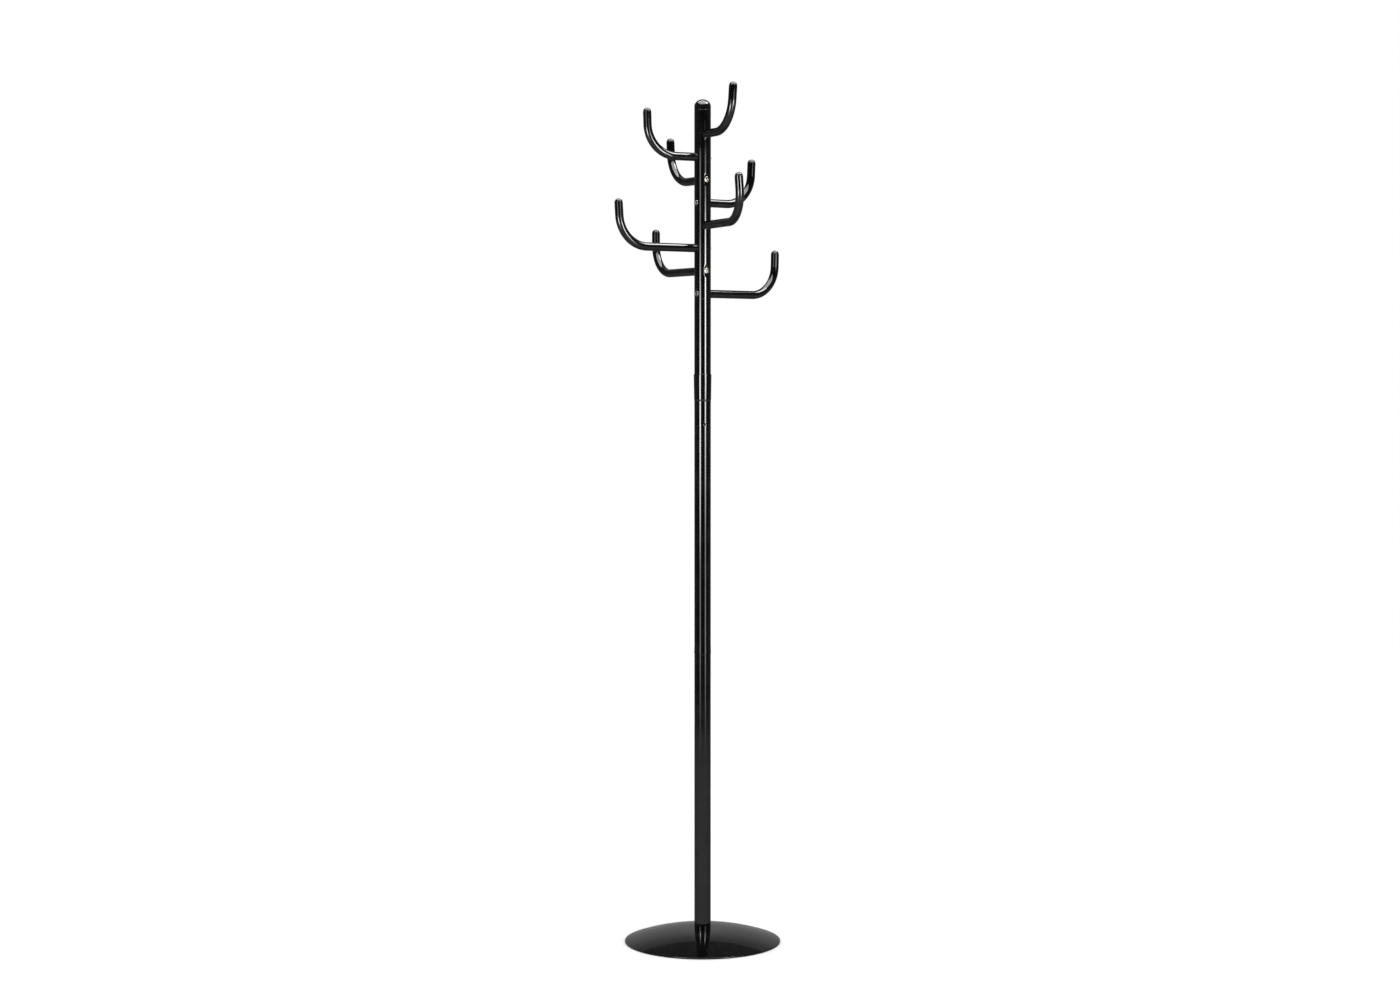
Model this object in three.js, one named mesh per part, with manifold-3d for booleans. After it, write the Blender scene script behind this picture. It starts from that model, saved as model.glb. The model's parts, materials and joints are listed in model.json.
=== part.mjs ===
// Standing coat rack: a weighted dome base, a three-section tube pole and eight bent tube arms in two tiers.
// Millimetres, +Z up. The origin is on the floor at the pole's axis, and arm 1 points towards -Y.
import * as THREE from "three";
import { mergeVertices } from "three/addons/utils/BufferGeometryUtils.js";
import Module from "manifold-3d";

const wasm = await Module();
wasm.setup();

// ---- Base ----
const base_diameter = 303;
const base_crown_height = 27;
const base_rim_height = 3;
const base_rim_lift = 0.8;
const base_edge_radius = 0.8;
const base_crown_land = 1;
const shell_thickness = 1.2;
const pad_thickness = 2;
const underplate_thickness = 1.2;
const dish_foot_radius = 22;
const dish_roof_radius = 17;
const weight_inset = 24;
const weight_headroom = 0.5;

// ---- Pole bolt, up through the base into the pole's foot ----
const bolt_diameter = 10;
const bolt_head_flats = 16;
const bolt_head_height = 6.4;
const bolt_length = 40;
const pole_washer_diameter = 20;
const pole_washer_thickness = 2;
const lockwasher_diameter = 18;
const lockwasher_thickness = 2.2;
const foot_nut_length = 25;

// ---- Pole ----
const pole_diameter = 32;
const pole_wall = 1;
const lower_pole_height = 538;
const middle_pole_height = 542;
const upper_pole_height = 506;
const spigot_length = 60;
const swage_height = 0.8;
const mouth_flare_step = 0.4;
const mouth_flare_height = 16;
const bell_length = 49;
const bell_wall = 0.9;
const bell_lip_height = 6;
const bell_ring_step = 0.5;
const bell_neck_height = 3;
const dimple_drop = 97;
const dimple_azimuth = -16;
const dimple_radius = 2.2;
const dimple_depth = 1;
const pole_cap_collar = 7.5;
const pole_cap_dome = 13.5;
const pole_cap_skirt = 20;
const pole_cap_wall = 2;

// ---- Arms ----
const arm_diameter = 16;
const arm_wall = 1;
const arm_bend_radius = 60;
const arm_bend_angle = 87.7;
const arm_upright = 25;
const upper_tier_run = 58;
const lower_tier_run = 127;
const top_arm_drop = 46;
const arm_pitch = 43.6;
const arm_nut_length = 12;
const arm_cap_step = 0.65;
const arm_cap_collar = 0.6;
const arm_cap_dome = 5.7;
const arm_cap_skirt = 12;
const arm_cap_wall = 1.5;

// ---- Arm screws ----
const arm_screw_diameter = 6;
const arm_screw_length = 30;
const arm_screw_head_diameter = 11;
const arm_screw_head_height = 1.6;
const arm_screw_crown_diameter = 7.7;
const arm_screw_recess_width = 1.3;
const arm_screw_recess_span = 5.6;
const arm_screw_recess_depth = 1.2;
const arm_screw_seat_diameter = 12;
const arm_screw_seat_depth = 0.9;

// One entry per arm from the top down: its level run, the way it points (degrees from -Y towards +X)
// and how far its upright leans to the left as seen along the arm from the pole (degrees).
const arms = [
  { run: upper_tier_run, azimuth: -4, lean: 2.5 },
  { run: upper_tier_run, azimuth: -94, lean: 1 },
  { run: upper_tier_run, azimuth: 180, lean: 1.5 },
  { run: upper_tier_run, azimuth: 96, lean: -0.5 },
  { run: lower_tier_run, azimuth: -8, lean: -5 },
  { run: lower_tier_run, azimuth: -87.5, lean: -2 },
  { run: lower_tier_run, azimuth: 179, lean: -1 },
  { run: lower_tier_run, azimuth: 99, lean: 1 },
];

// ---- Fits ----
const face_gap = 0.2;
const socket_gap = 0.25;
const plug_gap = 0.3;
const thread_gap = 0.3;
const arm_hole_clearance = 0.35;
const bolt_hole_clearance = 0.5;

// ---- Facets ----
const pole_sides = 24;
const arm_sides = 12;
const arm_bend_steps = 8;
const base_sides = 40;
const dome_steps = 6;
const small_sides = 12;
const screw_sides = 12;
const hex_sides = 6;
const cap_dome_steps = 4;
const overcut = 2;

// ---- Derived sizes ----
const pole_radius = pole_diameter / 2;
const pole_bore = pole_radius - pole_wall;
const spigot_radius = pole_bore - socket_gap;
const spigot_bore = spigot_radius - pole_wall;
const pole_foot_height = base_crown_height + face_gap;
const lower_seam = base_crown_height + lower_pole_height;
const upper_seam = lower_seam + middle_pole_height;
const pole_top = upper_seam + upper_pole_height;

const base_radius = base_diameter / 2;
const crown_radius = pole_radius + base_crown_land;
const dome_edge_radius = base_radius - base_edge_radius;
const bolt_radius = bolt_diameter / 2;
const bolt_hole_radius = bolt_radius + bolt_hole_clearance;

const underplate_floor = pad_thickness + face_gap;
const underplate_top = underplate_floor + underplate_thickness;
const bolt_head_floor = pad_thickness + plug_gap;
const bolt_head_top = bolt_head_floor + bolt_head_height;
const lockwasher_floor = bolt_head_top + face_gap;
const pole_washer_floor = lockwasher_floor + lockwasher_thickness + face_gap;
const dish_roof = pole_washer_floor + pole_washer_thickness + face_gap;
const dish_roof_top = dish_roof + underplate_thickness;

const arm_radius = arm_diameter / 2;
const arm_bore = arm_radius - arm_wall;
const arm_root_depth = Math.sqrt(pole_bore ** 2 - arm_radius ** 2) - plug_gap;
const bend_angle = THREE.MathUtils.degToRad(arm_bend_angle);
const arm_screw_radius = arm_screw_diameter / 2;
const arm_screw_seat = pole_radius - arm_screw_seat_depth;

// ---- Finishes ----
const enamel = { color: 0x0c0c0d, roughness: 0.22, metalness: 0 };
const moulded = { color: 0x101011, roughness: 0.32, metalness: 0 };
const nickel = { color: 0xc8c6c0, roughness: 0.25, metalness: 1 };
const zinc = { color: 0xa9adb0, roughness: 0.45, metalness: 1 };
const cast = { color: 0x4a4a4b, roughness: 0.85, metalness: 0.2 };
const foam = { color: 0x1b1b1c, roughness: 0.95, metalness: 0 };

// A geometry with shared corners and no collapsed triangles, which a boolean can take.
function weld(geometry) {
  geometry.deleteAttribute("normal");
  geometry.deleteAttribute("uv");
  const welded = mergeVertices(geometry);
  const corners = welded.index.array;
  const kept = [];
  for (let i = 0; i < corners.length; i += 3) {
    const [a, b, c] = corners.subarray(i, i + 3);
    if (a !== b && b !== c && c !== a) {
      kept.push(a, b, c);
    }
  }
  welded.setIndex(kept);
  welded.computeVertexNormals();
  return welded;
}

function toSolid(geometry) {
  const welded = weld(geometry);
  const vertProperties = new Float32Array(welded.attributes.position.array);
  const triVerts = new Uint32Array(welded.index.array);
  return new wasm.Manifold(new wasm.Mesh({ numProp: 3, vertProperties, triVerts }));
}

function toGeometry(solid) {
  const { vertProperties, triVerts } = solid.getMesh();
  const geometry = new THREE.BufferGeometry();
  geometry.setAttribute("position", new THREE.BufferAttribute(vertProperties, 3));
  geometry.setIndex(new THREE.BufferAttribute(triVerts, 1));
  geometry.computeVertexNormals();
  return geometry;
}

// A profile of [radius, height] pairs, anticlockwise round the section, turned about +Z.
// A profile that doesn't touch the axis closes on its first point.
function turned(profile, sides) {
  const points = profile.map(([radius, height]) => new THREE.Vector2(radius, height));
  const touchesAxis = profile[0][0] === 0;
  if (!touchesAxis) {
    points.push(points[0].clone());
  }
  return weld(new THREE.LatheGeometry(points, sides).rotateX(Math.PI / 2));
}

// A plain ring or disc between two heights.
function ring(outer, bore, low, high, sides) {
  return turned([[bore, low], [outer, low], [outer, high], [bore, high]], sides);
}

// A round bar along local X, from x = 0 to the given signed length.
function barAlongX(radius, length, sides) {
  const bar = new THREE.CylinderGeometry(radius, radius, Math.abs(length), sides);
  return bar.rotateZ(Math.PI / 2).translate(length / 2, 0, 0);
}

// The way an arm points, as a turn about +Z of something built along +X.
function turnFor(azimuth) {
  return THREE.MathUtils.degToRad(azimuth - 90);
}

function armHeight(index) {
  return pole_top - top_arm_drop - index * arm_pitch;
}

// ---- Base pieces ----

// Height of the dome's outer surface: a parabola from the crown land out to the rim.
function domeHeight(radius) {
  const share = (radius - crown_radius) / (dome_edge_radius - crown_radius);
  return base_rim_height + (base_crown_height - base_rim_height) * (1 - share ** 2);
}

// Radius at which the dome's outer surface comes down to a height.
function domeRadiusAt(height) {
  const share = (height - base_rim_height) / (base_crown_height - base_rim_height);
  return crown_radius + (dome_edge_radius - crown_radius) * Math.sqrt(1 - share);
}

// The dome between two radii as [radius, height] pairs, shifted down by a depth.
function domeLine(from, to, depth) {
  return Array.from({ length: dome_steps + 1 }, (_, i) => {
    const radius = THREE.MathUtils.lerp(from, to, i / dome_steps);
    return [radius, domeHeight(radius) - depth];
  });
}

const underplate_radius = domeRadiusAt(underplate_top + face_gap + shell_thickness);
const weight_radius = underplate_radius - weight_inset;

function baseShell() {
  const rim_bore = base_radius - shell_thickness;
  const inner = domeLine(crown_radius, rim_bore, shell_thickness);
  const outer = domeLine(dome_edge_radius, crown_radius, 0);
  return turned([
    [bolt_hole_radius, base_crown_height - shell_thickness],
    ...inner,
    [rim_bore, base_rim_lift],
    [base_radius, base_rim_lift],
    [base_radius, base_rim_height - base_edge_radius],
    ...outer,
    [bolt_hole_radius, base_crown_height],
  ], base_sides);
}

function baseWeight() {
  const floor = underplate_top + face_gap;
  const depth = shell_thickness + weight_headroom;
  const web_floor = dish_roof_top + face_gap;
  const wall_offset = underplate_thickness + plug_gap;
  return turned([
    [dish_foot_radius + wall_offset, floor],
    [weight_radius, floor],
    ...domeLine(weight_radius, crown_radius, depth),
    [bolt_hole_radius, base_crown_height - depth],
    [bolt_hole_radius, web_floor],
    [dish_roof_radius + wall_offset, web_floor],
  ], base_sides);
}

// A flat plate whose centre is pressed up into a dish that takes the bolt's head.
function baseUnderplate() {
  return turned([
    [bolt_hole_radius, dish_roof],
    [dish_roof_radius, dish_roof],
    [dish_foot_radius, underplate_floor],
    [underplate_radius, underplate_floor],
    [underplate_radius, underplate_top],
    [dish_foot_radius + underplate_thickness, underplate_top],
    [dish_roof_radius + underplate_thickness, dish_roof_top],
    [bolt_hole_radius, dish_roof_top],
  ], base_sides);
}

function poleBolt() {
  const corner_radius = bolt_head_flats / Math.sqrt(3);
  const head = new THREE.CylinderGeometry(corner_radius, corner_radius, bolt_head_height, hex_sides)
    .rotateX(Math.PI / 2)
    .translate(0, 0, bolt_head_floor + bolt_head_height / 2);
  const shank_bottom = bolt_head_floor + bolt_head_height / 2;
  const shank = ring(bolt_radius, 0, shank_bottom, bolt_head_top + bolt_length, small_sides);
  return toGeometry(toSolid(head).add(toSolid(shank)));
}

// ---- Pole pieces ----

function lowerPole() {
  const shoulder = lower_seam - face_gap;
  const spigot_top = lower_seam + spigot_length;
  return turned([
    [pole_bore, pole_foot_height],
    [pole_radius, pole_foot_height],
    [pole_radius, shoulder - swage_height],
    [spigot_radius, shoulder],
    [spigot_radius, spigot_top],
    [spigot_bore, spigot_top],
    [spigot_bore, shoulder - swage_height],
    [pole_bore, shoulder - 2 * swage_height],
  ], pole_sides);
}

// The bell at the middle pole's top: a mouth, a long taper down to a faint ring, and a short neck.
const bell_mouth_bore = pole_radius + socket_gap;
const bell_mouth_radius = bell_mouth_bore + bell_wall;
const bell_ring_height = upper_seam - bell_length;
const bell_ring_radius = pole_radius + bell_ring_step;
const bell_ring_bore = bell_ring_radius - bell_wall;
const dimple_height = upper_seam - dimple_drop;

function middlePole() {
  const tube = turned([
    [pole_bore + mouth_flare_step, lower_seam],
    [pole_radius + mouth_flare_step, lower_seam],
    [pole_radius, lower_seam + mouth_flare_height],
    [pole_radius, bell_ring_height - bell_neck_height],
    [bell_ring_radius, bell_ring_height],
    [bell_mouth_radius, upper_seam - bell_lip_height],
    [bell_mouth_radius, upper_seam],
    [bell_mouth_bore, upper_seam],
    [bell_mouth_bore, upper_seam - bell_lip_height],
    [bell_ring_bore, bell_ring_height],
    [pole_bore, bell_ring_height - bell_neck_height],
    [pole_bore, lower_seam + mouth_flare_height],
  ], pole_sides);
  return toGeometry(withDimple(toSolid(tube)));
}

// A pressed dimple: a round pit outside and the bump it raises inside, which stops the upper pole.
const dimple_centre = pole_radius + dimple_radius - dimple_depth;
const dimple_bump_radius = dimple_radius + bell_wall;

function withDimple(tube) {
  const place = (geometry) => geometry.translate(dimple_centre, 0, 0)
    .rotateZ(turnFor(dimple_azimuth))
    .translate(0, 0, dimple_height);
  const ball = (radius) => toSolid(place(new THREE.SphereGeometry(radius, small_sides, small_sides / 2)));
  const core_reach = dimple_bump_radius + overcut;
  const core_radius = pole_radius - pole_wall / 2;
  const core = ring(core_radius, 0, dimple_height - core_reach, dimple_height + core_reach, pole_sides);
  const bump = ball(dimple_bump_radius).intersect(toSolid(core));
  return tube.add(bump).subtract(ball(dimple_radius));
}

// Where the upper pole's pilot stops: just above the dimple's inner bump.
function pilotEnd() {
  const offset = dimple_centre - spigot_radius;
  return dimple_height + Math.sqrt(dimple_bump_radius ** 2 - offset ** 2) + plug_gap;
}

// The upper pole's lower end follows the bell's taper and then narrows to a pilot.
function upperPole() {
  const taper_end_radius = bell_ring_bore - socket_gap;
  const taper_end = bell_ring_height + bell_neck_height;
  const pilot_start = bell_ring_height + face_gap;
  const lip = upper_seam - bell_lip_height;
  const tube = turned([
    [spigot_bore, pilotEnd()],
    [spigot_radius, pilotEnd()],
    [spigot_radius, pilot_start],
    [taper_end_radius, taper_end],
    [pole_radius, lip],
    [pole_radius, pole_top],
    [pole_bore, pole_top],
    [pole_bore, lip],
    [taper_end_radius - pole_wall, taper_end],
    [spigot_bore, pilot_start],
  ], pole_sides);
  const outside = toSolid(ring(pole_radius, 0, lip, pole_top, pole_sides));
  const pierced = arms.reduce((pole, arm, i) => withArmHoles(pole, outside, arm, i), toSolid(tube));
  return toGeometry(pierced);
}

// An arm's hole through the near wall, and in the far wall its screw's flat pressed seat and hole.
function withArmHoles(tube, outside, arm, index) {
  const reach = pole_radius + overcut;
  const placed = (bar) => toSolid(bar.rotateZ(turnFor(arm.azimuth)).translate(0, 0, armHeight(index)));
  const seatBar = (radius, start) => barAlongX(radius, start - reach, small_sides).translate(-start, 0, 0);
  const seat_radius = arm_screw_seat_diameter / 2;
  const pressed = placed(seatBar(seat_radius + pole_wall, arm_screw_seat - pole_wall)).intersect(outside);
  return tube
    .add(pressed)
    .subtract(placed(seatBar(seat_radius, arm_screw_seat)))
    .subtract(placed(barAlongX(arm_radius + arm_hole_clearance, reach, small_sides)))
    .subtract(placed(barAlongX(arm_screw_radius + arm_hole_clearance, -reach, screw_sides)));
}

// A cap with a skirt that plugs into a tube, a collar that meets the tube's end and a dome on top.
function domedCap({ radius, collar, dome, skirt, skirtRadius, wall, sides }) {
  const bore = skirtRadius - wall;
  const inner = [[0, collar + dome - wall], [bore, collar - wall]];
  const outer = Array.from({ length: cap_dome_steps }, (_, i) => {
    const angle = (i / cap_dome_steps) * (Math.PI / 2);
    return [radius * Math.cos(angle), collar + dome * Math.sin(angle)];
  });
  return turned([
    ...inner,
    [bore, -skirt],
    [skirtRadius, -skirt],
    [skirtRadius, face_gap],
    [radius, face_gap],
    ...outer,
    [0, collar + dome],
  ], sides);
}

function poleCap() {
  return domedCap({
    radius: pole_radius,
    collar: pole_cap_collar,
    dome: pole_cap_dome,
    skirt: pole_cap_skirt,
    skirtRadius: pole_bore - plug_gap,
    wall: pole_cap_wall,
    sides: pole_sides,
  });
}

// ---- Arm pieces ----

// An arm's centreline in its own X-Z plane: out of the pole along +X, round the bend and up.
// It is stepped once for the level run, arm_bend_steps times round the bend and once for the upright.
class ArmCentreline extends THREE.Curve {
  constructor(run) {
    super();
    this.run = run;
    this.steps = arm_bend_steps + 2;
  }

  bendAngleAt(u) {
    return THREE.MathUtils.clamp((u * this.steps - 1) / arm_bend_steps, 0, 1) * bend_angle;
  }

  getTangentAt(u, target = new THREE.Vector3()) {
    const angle = this.bendAngleAt(u);
    return target.set(Math.cos(angle), 0, Math.sin(angle));
  }

  getPointAt(u, target = new THREE.Vector3()) {
    const angle = this.bendAngleAt(u);
    const level = Math.min(u * this.steps, 1) * (this.run + arm_root_depth) - arm_root_depth;
    const upright = Math.max(u * this.steps - arm_bend_steps - 1, 0) * arm_upright;
    return target.set(
      level + arm_bend_radius * Math.sin(angle) + upright * Math.cos(angle),
      0,
      arm_bend_radius * (1 - Math.cos(angle)) + upright * Math.sin(angle),
    );
  }

  getPoint(t, target) {
    return this.getPointAt(t, target);
  }
}

function circlePoints(radius, sides) {
  return Array.from({ length: sides }, (_, i) => {
    const angle = (i / sides) * 2 * Math.PI;
    return new THREE.Vector2(radius * Math.cos(angle), radius * Math.sin(angle));
  });
}

function armTube(centreline) {
  const section = new THREE.Shape(circlePoints(arm_radius, arm_sides));
  section.holes.push(new THREE.Path(circlePoints(arm_bore, arm_sides)));
  const extruded = new THREE.ExtrudeGeometry(section, {
    steps: centreline.steps,
    extrudePath: centreline,
  });
  return weld(extruded);
}

function armCap() {
  return domedCap({
    radius: arm_radius - arm_cap_step,
    collar: arm_cap_collar,
    dome: arm_cap_dome,
    skirt: arm_cap_skirt,
    skirtRadius: arm_bore - plug_gap,
    wall: arm_cap_wall,
    sides: arm_sides,
  });
}

// A pan-head screw along +Z: the head stands on z = 0 and the shank hangs below.
function armScrew() {
  const head_radius = arm_screw_head_diameter / 2;
  const edge_height = arm_screw_head_height / 2;
  const blank = turned([
    [0, -arm_screw_length],
    [arm_screw_radius, -arm_screw_length],
    [arm_screw_radius, 0],
    [head_radius, 0],
    [head_radius, edge_height],
    [arm_screw_crown_diameter / 2, arm_screw_head_height],
    [0, arm_screw_head_height],
  ], screw_sides);
  const slot_depth = arm_screw_recess_depth + overcut;
  const slot_centre = arm_screw_head_height - arm_screw_recess_depth + slot_depth / 2;
  const slot = () => new THREE.BoxGeometry(arm_screw_recess_span, arm_screw_recess_width, slot_depth)
    .translate(0, 0, slot_centre);
  const crossed = toSolid(blank).subtract(toSolid(slot())).subtract(toSolid(slot().rotateZ(Math.PI / 2)));
  return toGeometry(crossed);
}

// ---- Assembly ----

const group = new THREE.Group();

function addPiece(parent, name, geometry, finish) {
  const mesh = new THREE.Mesh(geometry, new THREE.MeshStandardMaterial(finish));
  mesh.name = name;
  parent.add(mesh);
  return mesh;
}

addPiece(group, "base_pad", ring(underplate_radius, 0, 0, pad_thickness, base_sides), foam);
addPiece(group, "base_underplate", baseUnderplate(), zinc);
addPiece(group, "base_weight", baseWeight(), cast);
addPiece(group, "base_shell", baseShell(), enamel);
addPiece(group, "pole_bolt", poleBolt(), zinc);

const lockwasher = ring(
  lockwasher_diameter / 2,
  bolt_hole_radius,
  lockwasher_floor,
  lockwasher_floor + lockwasher_thickness,
  small_sides,
);
addPiece(group, "pole_lockwasher", lockwasher, zinc);

const pole_washer = ring(
  pole_washer_diameter / 2,
  bolt_hole_radius,
  pole_washer_floor,
  pole_washer_floor + pole_washer_thickness,
  small_sides,
);
addPiece(group, "pole_washer", pole_washer, zinc);

const foot_nut = ring(
  pole_bore - plug_gap,
  bolt_radius + thread_gap,
  pole_foot_height,
  pole_foot_height + foot_nut_length,
  pole_sides,
);
addPiece(group, "foot_nut", foot_nut, zinc);

addPiece(group, "lower_pole", lowerPole(), enamel);
addPiece(group, "middle_pole", middlePole(), enamel);
addPiece(group, "upper_pole", upperPole(), enamel);
addPiece(group, "pole_cap", poleCap(), moulded).position.z = pole_top;

arms.forEach((arm, index) => {
  const number = index + 1;
  const heading = new THREE.Group();
  heading.position.z = armHeight(index);
  heading.rotation.z = turnFor(arm.azimuth);
  const leaning = new THREE.Group();
  leaning.rotation.x = THREE.MathUtils.degToRad(-arm.lean);
  heading.add(leaning);
  group.add(heading);

  const centreline = new ArmCentreline(arm.run);
  addPiece(leaning, `arm_${number}`, armTube(centreline), enamel);

  const cap = addPiece(leaning, `arm_cap_${number}`, armCap(), moulded);
  cap.position.copy(centreline.getPointAt(1));
  cap.rotation.y = Math.PI / 2 - bend_angle;

  const nut = addPiece(
    heading,
    `arm_nut_${number}`,
    ring(arm_bore - plug_gap, arm_screw_radius + thread_gap, 0, arm_nut_length, small_sides),
    zinc,
  );
  nut.position.x = -arm_root_depth;
  nut.rotation.y = Math.PI / 2;

  const screw = addPiece(heading, `arm_screw_${number}`, armScrew(), nickel);
  screw.position.x = -(arm_screw_seat + face_gap);
  screw.rotation.y = -Math.PI / 2;
});

export default group;
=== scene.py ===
"""Standing coat rack: fine surfaces, finishes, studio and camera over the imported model.

Lengths are metres, +Z is up and the origin is on the floor at the pole's axis.
"""

import json
import math

import bpy
import numpy as np
from bpy.props import FloatProperty, FloatVectorProperty, IntProperty, PointerProperty
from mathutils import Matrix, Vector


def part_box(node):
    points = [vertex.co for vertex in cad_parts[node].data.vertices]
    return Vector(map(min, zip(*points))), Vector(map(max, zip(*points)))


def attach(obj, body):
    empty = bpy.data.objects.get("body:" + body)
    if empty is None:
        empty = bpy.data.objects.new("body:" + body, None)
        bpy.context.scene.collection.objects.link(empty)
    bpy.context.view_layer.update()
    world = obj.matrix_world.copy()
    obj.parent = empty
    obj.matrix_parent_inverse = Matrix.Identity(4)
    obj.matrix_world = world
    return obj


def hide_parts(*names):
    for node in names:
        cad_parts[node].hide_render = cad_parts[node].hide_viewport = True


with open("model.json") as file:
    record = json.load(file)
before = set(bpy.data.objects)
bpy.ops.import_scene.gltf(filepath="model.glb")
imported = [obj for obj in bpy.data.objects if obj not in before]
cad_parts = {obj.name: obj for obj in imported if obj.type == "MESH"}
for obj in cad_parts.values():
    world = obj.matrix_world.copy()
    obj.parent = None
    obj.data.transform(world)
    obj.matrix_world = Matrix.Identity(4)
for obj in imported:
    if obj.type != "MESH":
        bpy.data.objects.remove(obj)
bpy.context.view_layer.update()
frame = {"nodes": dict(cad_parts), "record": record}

bl_info = {
    "name": "Standing coat rack",
    "version": (1, 0, 0),
    "blender": (4, 5, 0),
    "location": "View3D > Sidebar > Coat rack",
    "description": "Builds the surfaces, finishes and studio of a standing coat rack",
    "category": "Object",
}

MM = 0.001
BODY = "root"
UP = np.array([0.0, 0.0, 1.0])

# Each arm from the top down: tier, the way it points in degrees from -Y towards +X, and how many
# degrees its upright leans to the left as seen along the arm from the pole.
ARMS = (
    ("upper", -4.0, 2.5),
    ("upper", -94.0, 1.0),
    ("upper", 180.0, 1.5),
    ("upper", 96.0, -0.5),
    ("lower", -8.0, -5.0),
    ("lower", -87.5, -2.0),
    ("lower", 179.0, -1.0),
    ("lower", 99.0, 1.0),
)


# ---- Sizes and colours a user would change ----


def length(name, description, millimetres):
    """A bpy length property with its default given in millimetres."""
    return FloatProperty(name=name, description=description, default=millimetres * MM, unit="LENGTH")


def degrees(name, description, value):
    """A bpy angle property with its default given in degrees."""
    return FloatProperty(
        name=name, description=description, default=math.radians(value), subtype="ANGLE"
    )


def radiance(name, description, value):
    """A bpy property for a light's radiance, or for a share of one."""
    return FloatProperty(name=name, description=description, default=value, min=0.0)


def hex_colour(name, description, value):
    """A bpy colour property with its default given as an sRGB hex colour."""
    return FloatVectorProperty(
        name=name, description=description, default=linear(value), subtype="COLOR", size=4
    )


def linear(value):
    """An sRGB hex colour as linear red, green and blue with full alpha.

    Below 0.04045 a channel is divided by 12.92, and above it ((c + 0.055) / 1.055) ** 2.4.
    """
    srgb = np.array([int(value[i : i + 2], 16) for i in (1, 3, 5)]) / 255.0
    rgb = np.where(srgb <= 0.04045, srgb / 12.92, ((srgb + 0.055) / 1.055) ** 2.4)
    return (*rgb.tolist(), 1.0)


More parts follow.
